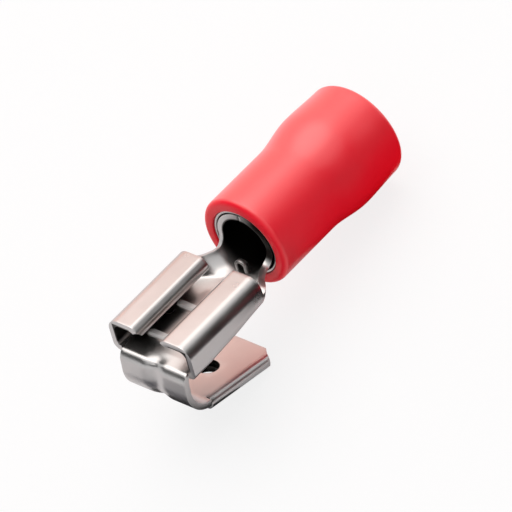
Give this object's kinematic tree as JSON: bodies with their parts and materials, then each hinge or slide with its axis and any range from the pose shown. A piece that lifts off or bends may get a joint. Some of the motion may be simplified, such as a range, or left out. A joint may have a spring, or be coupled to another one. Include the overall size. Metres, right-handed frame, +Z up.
{
  "type": "insulated piggyback spade terminal",
  "caption": "Insulated piggyback terminal: a rolled female receptacle with a doubled male tab folded under it, and a wire barrel in a flared soft sleeve.",
  "frame": {"origin": "on the surface the terminal rests on, under the centre of its outline box", "axes": "+X towards the mouth of the receptacle, +Z up, +Y across the tab"},
  "size_m": [0.021, 0.0066, 0.0087],
  "materials": {
    "tinned_sheet": "bright tin plating",
    "tinned_tube": "bright tin plating",
    "red_sleeve": "satin"
  },
  "bodies": {
    "root": {"contact": "tinned_sheet", "support_sleeve": "tinned_tube", "insulating_sleeve": "red_sleeve"}
  },
  "joints": []
}
